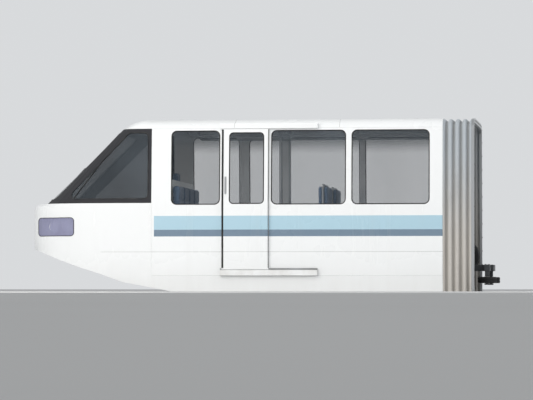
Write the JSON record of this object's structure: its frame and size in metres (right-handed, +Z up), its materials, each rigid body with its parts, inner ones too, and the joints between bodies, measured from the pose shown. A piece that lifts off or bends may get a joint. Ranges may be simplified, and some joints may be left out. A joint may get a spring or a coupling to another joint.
{
  "type": "straddle-beam monorail cab car",
  "caption": "Cab car of a straddle-beam monorail train: white body with sloped nose, sliding doors, pleated end bellows and bogies whose tyres ride on and beside the beam.",
  "frame": {"origin": "on the beam's running surface, on the car's centre line, midway between the two bogie pivots", "axes": "+X towards the nose, +Y to the car's left side, +Z up"},
  "size_m": [5.99, 2.092, 2.19],
  "materials": {
    "body_white": "gloss white paint on moulded panels, with a two-tone blue stripe below the windows",
    "dark_trim": "dark satin frame and console mouldings",
    "glazing": "grey tinted glass",
    "frame_steel": "dark grey painted steel with road dust",
    "bare_aluminium": "dull extruded aluminium",
    "tyre_rubber": "black rubber tyre on a grey hub",
    "flooring": "ribbed grey floor covering",
    "upholstery": "blue-grey padded seat cover",
    "pleated_fabric": "pale grey rubberised pleated fabric",
    "lamp_lens": "violet-grey smoked lamp cover"
  },
  "bodies": {
    "car_body": {"left_rear_side_panel": "body_white", "left_front_side_panel": "body_white", "left_rear_window": "glazing", "left_middle_window": "glazing", "left_front_window": "glazing", "left_door_sill": "bare_aluminium", "left_door_head_rail": "body_white", "left_skirt": "body_white", "left_headlamp": "lamp_lens", "left_quarter_glass": "glazing", "right_rear_side_panel": "body_white", "right_front_side_panel": "body_white", "right_rear_window": "glazing", "right_middle_window": "glazing", "right_front_window": "glazing", "right_door_sill": "bare_aluminium", "right_door_head_rail": "body_white", "right_skirt": "body_white", "right_headlamp": "lamp_lens", "right_quarter_glass": "glazing", "roof": "body_white", "rear_bulkhead": "body_white", "nose_shell": "body_white", "cab_window_frame": "dark_trim", "windscreen": "glazing", "left_sole_bar": "frame_steel", "right_sole_bar": "frame_steel", "front_bolster": "frame_steel", "rear_bolster": "frame_steel", "floor_pan": "flooring", "rear_bench": "upholstery", "front_bench": "upholstery", "left_middle_bench": "upholstery", "right_middle_bench": "upholstery", "cab_partition": "body_white", "driver_seat": "upholstery", "console": "dark_trim", "bellows": "pleated_fabric", "bellows_ring": "bare_aluminium"},
    "left_door": {"left_door_leaf": "body_white", "left_door_pane": "glazing"},
    "right_door": {"right_door_leaf": "body_white", "right_door_pane": "glazing"},
    "front_bogie": {"front_bogie_frame": "frame_steel", "drive_motor": "frame_steel"},
    "front_axle": {"front_load_wheels": "tyre_rubber"},
    "front_left_guide_wheel_fore": {"front_left_guide_wheel_fore": "tyre_rubber"},
    "front_left_guide_wheel_aft": {"front_left_guide_wheel_aft": "tyre_rubber"},
    "front_left_stabiliser_wheel": {"front_left_stabiliser_wheel": "tyre_rubber"},
    "front_right_guide_wheel_fore": {"front_right_guide_wheel_fore": "tyre_rubber"},
    "front_right_guide_wheel_aft": {"front_right_guide_wheel_aft": "tyre_rubber"},
    "front_right_stabiliser_wheel": {"front_right_stabiliser_wheel": "tyre_rubber"},
    "rear_bogie": {"rear_bogie_frame": "frame_steel"},
    "rear_axle": {"rear_load_wheels": "tyre_rubber"},
    "rear_left_guide_wheel_fore": {"rear_left_guide_wheel_fore": "tyre_rubber"},
    "rear_left_guide_wheel_aft": {"rear_left_guide_wheel_aft": "tyre_rubber"},
    "rear_left_stabiliser_wheel": {"rear_left_stabiliser_wheel": "tyre_rubber"},
    "rear_right_guide_wheel_fore": {"rear_right_guide_wheel_fore": "tyre_rubber"},
    "rear_right_guide_wheel_aft": {"rear_right_guide_wheel_aft": "tyre_rubber"},
    "rear_right_stabiliser_wheel": {"rear_right_stabiliser_wheel": "tyre_rubber"}
  },
  "joints": [
    {"name": "left_door_slide", "type": "slide", "parent": "car_body", "child": "left_door", "axis": [-1, 0, 0], "range_m": [0, 0.6]},
    {"name": "right_door_slide", "type": "slide", "parent": "car_body", "child": "right_door", "axis": [-1, 0, 0], "range_m": [0, 0.6]},
    {"name": "front_bogie_yaw", "type": "hinge", "parent": "car_body", "child": "front_bogie", "pos_m": [1.8, 0, 0.4655], "axis": [0, 0, 1], "range_deg": [-8, 8]},
    {"name": "front_load_wheels_spin", "type": "hinge", "parent": "front_bogie", "child": "front_axle", "pos_m": [1.8, 0, 0.21], "axis": [0, 1, 0], "continuous": true},
    {"name": "front_left_guide_wheel_fore_spin", "type": "hinge", "parent": "front_bogie", "child": "front_left_guide_wheel_fore", "pos_m": [2.13, 0.472, -0.095], "axis": [0, 0, 1], "continuous": true},
    {"name": "front_left_guide_wheel_aft_spin", "type": "hinge", "parent": "front_bogie", "child": "front_left_guide_wheel_aft", "pos_m": [1.47, 0.472, -0.095], "axis": [0, 0, 1], "continuous": true},
    {"name": "front_left_stabiliser_wheel_spin", "type": "hinge", "parent": "front_bogie", "child": "front_left_stabiliser_wheel", "pos_m": [1.8, 0.472, -0.175], "axis": [0, 0, 1], "continuous": true},
    {"name": "front_right_guide_wheel_fore_spin", "type": "hinge", "parent": "front_bogie", "child": "front_right_guide_wheel_fore", "pos_m": [2.13, -0.472, -0.095], "axis": [0, 0, 1], "continuous": true},
    {"name": "front_right_guide_wheel_aft_spin", "type": "hinge", "parent": "front_bogie", "child": "front_right_guide_wheel_aft", "pos_m": [1.47, -0.472, -0.095], "axis": [0, 0, 1], "continuous": true},
    {"name": "front_right_stabiliser_wheel_spin", "type": "hinge", "parent": "front_bogie", "child": "front_right_stabiliser_wheel", "pos_m": [1.8, -0.472, -0.175], "axis": [0, 0, 1], "continuous": true},
    {"name": "rear_bogie_yaw", "type": "hinge", "parent": "car_body", "child": "rear_bogie", "pos_m": [-1.8, 0, 0.4655], "axis": [0, 0, 1], "range_deg": [-8, 8]},
    {"name": "rear_load_wheels_spin", "type": "hinge", "parent": "rear_bogie", "child": "rear_axle", "pos_m": [-1.8, 0, 0.21], "axis": [0, 1, 0], "continuous": true},
    {"name": "rear_left_guide_wheel_fore_spin", "type": "hinge", "parent": "rear_bogie", "child": "rear_left_guide_wheel_fore", "pos_m": [-1.47, 0.472, -0.095], "axis": [0, 0, 1], "continuous": true},
    {"name": "rear_left_guide_wheel_aft_spin", "type": "hinge", "parent": "rear_bogie", "child": "rear_left_guide_wheel_aft", "pos_m": [-2.13, 0.472, -0.095], "axis": [0, 0, 1], "continuous": true},
    {"name": "rear_left_stabiliser_wheel_spin", "type": "hinge", "parent": "rear_bogie", "child": "rear_left_stabiliser_wheel", "pos_m": [-1.8, 0.472, -0.175], "axis": [0, 0, 1], "continuous": true},
    {"name": "rear_right_guide_wheel_fore_spin", "type": "hinge", "parent": "rear_bogie", "child": "rear_right_guide_wheel_fore", "pos_m": [-1.47, -0.472, -0.095], "axis": [0, 0, 1], "continuous": true},
    {"name": "rear_right_guide_wheel_aft_spin", "type": "hinge", "parent": "rear_bogie", "child": "rear_right_guide_wheel_aft", "pos_m": [-2.13, -0.472, -0.095], "axis": [0, 0, 1], "continuous": true},
    {"name": "rear_right_stabiliser_wheel_spin", "type": "hinge", "parent": "rear_bogie", "child": "rear_right_stabiliser_wheel", "pos_m": [-1.8, -0.472, -0.175], "axis": [0, 0, 1], "continuous": true}
  ]
}
